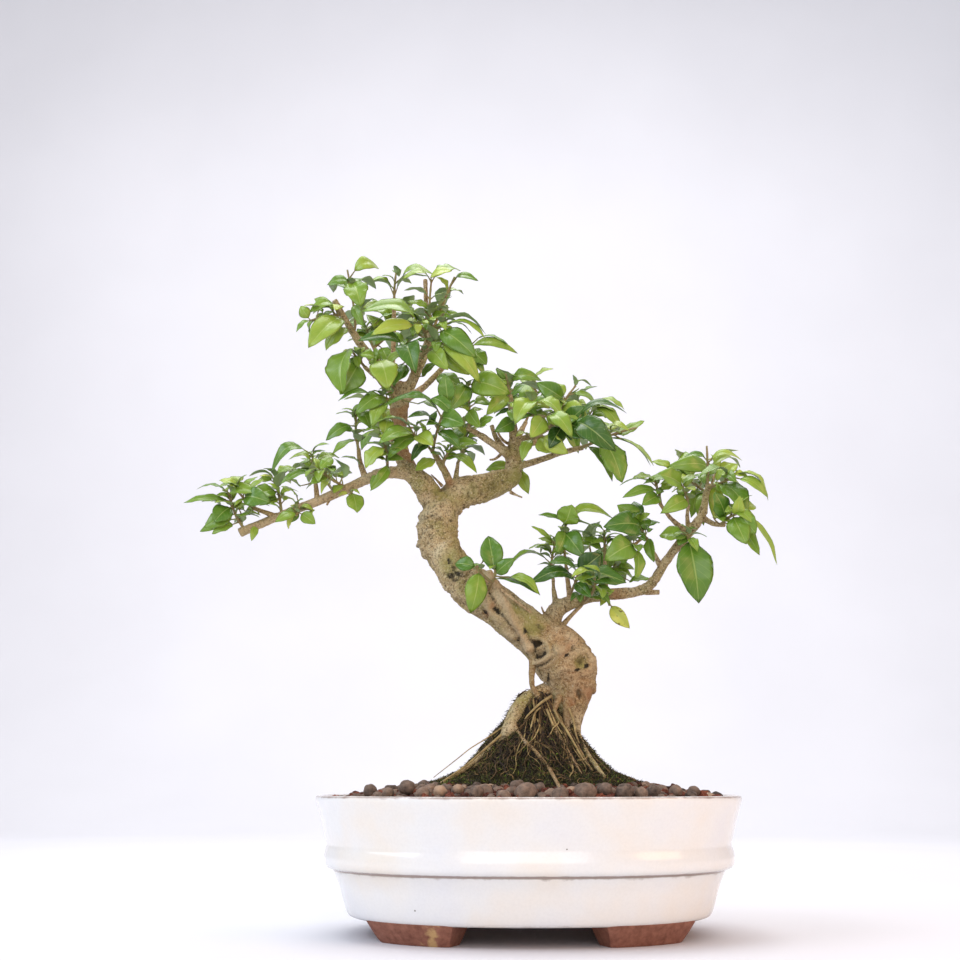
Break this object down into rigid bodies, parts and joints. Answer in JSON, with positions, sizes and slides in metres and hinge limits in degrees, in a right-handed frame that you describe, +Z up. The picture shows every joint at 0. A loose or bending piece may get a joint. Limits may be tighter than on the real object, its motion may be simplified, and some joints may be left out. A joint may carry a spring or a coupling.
{
  "type": "bonsai tree in pot",
  "caption": "Privet bonsai with an S-shaped trunk, a low mossy root mound and leafy pads, planted in a shallow cream oval pot on four feet.",
  "frame": {"origin": "centre of the bounding box at table height, under the pot's feet", "axes": "+X along the pot's length to the right as seen from the front, +Y to the back, +Z up; the front of the tree faces -Y"},
  "size_m": [0.353, 0.1946, 0.4181],
  "materials": {
    "glaze": null,
    "soil": null,
    "mesh": "black plastic drain mesh",
    "bark": "tan to olive privet bark, matt, with dark knots",
    "leaf": null
  },
  "bodies": {
    "root": {"drain_screen_left": "mesh", "drain_screen_right": "mesh", "pot": "glaze", "shoot_left_arch": "leaf", "shoot_left_back": "leaf", "shoot_left_end": "leaf", "shoot_left_end_top": "leaf", "shoot_left_hanging_yellow": "leaf", "shoot_left_inner": "leaf", "shoot_left_outer": "leaf", "shoot_left_under": "leaf", "shoot_left_upright": "leaf", "shoot_lower_back": "leaf", "shoot_lower_big": "leaf", "shoot_lower_dark": "leaf", "shoot_lower_first": "leaf", "shoot_lower_front": "leaf", "shoot_lower_slim": "leaf", "shoot_lower_spotted": "leaf", "shoot_lower_tall": "leaf", "shoot_middle_back": "leaf", "shoot_middle_back_left": "leaf", "shoot_middle_front": "leaf", "shoot_middle_front_left": "leaf", "shoot_middle_left": "leaf", "shoot_middle_low": "leaf", "shoot_middle_upright": "leaf", "shoot_pad_back": "leaf", "shoot_pad_crest": "leaf", "shoot_pad_drooping": "leaf", "shoot_pad_hanging": "leaf", "shoot_pad_left": "leaf", "shoot_pad_middle": "leaf", "shoot_pad_right": "leaf", "shoot_right_limb": "leaf", "shoot_right_top_back_inner": "leaf", "shoot_right_top_back_outer": "leaf", "shoot_right_top_bud": "leaf", "shoot_right_top_crest": "leaf", "shoot_right_top_dark": "leaf", "shoot_right_top_end": "leaf", "shoot_right_top_front": "leaf", "shoot_right_top_yellow": "leaf", "shoot_top_back_left": "leaf", "shoot_top_back_right": "leaf", "shoot_top_centre": "leaf", "shoot_top_front": "leaf", "shoot_top_left_end": "leaf", "shoot_top_left_hanging": "leaf", "shoot_top_left_tip": "leaf", "shoot_top_low_centre": "leaf", "shoot_top_low_left": "leaf", "shoot_top_low_right": "leaf", "shoot_top_right_end": "leaf", "shoot_top_right_stub": "leaf", "shoot_top_stump": "leaf", "shoot_top_upright": "leaf", "shoot_trunk_shoot": "leaf", "soil": "soil", "tree": "bark"}
  },
  "joints": []
}
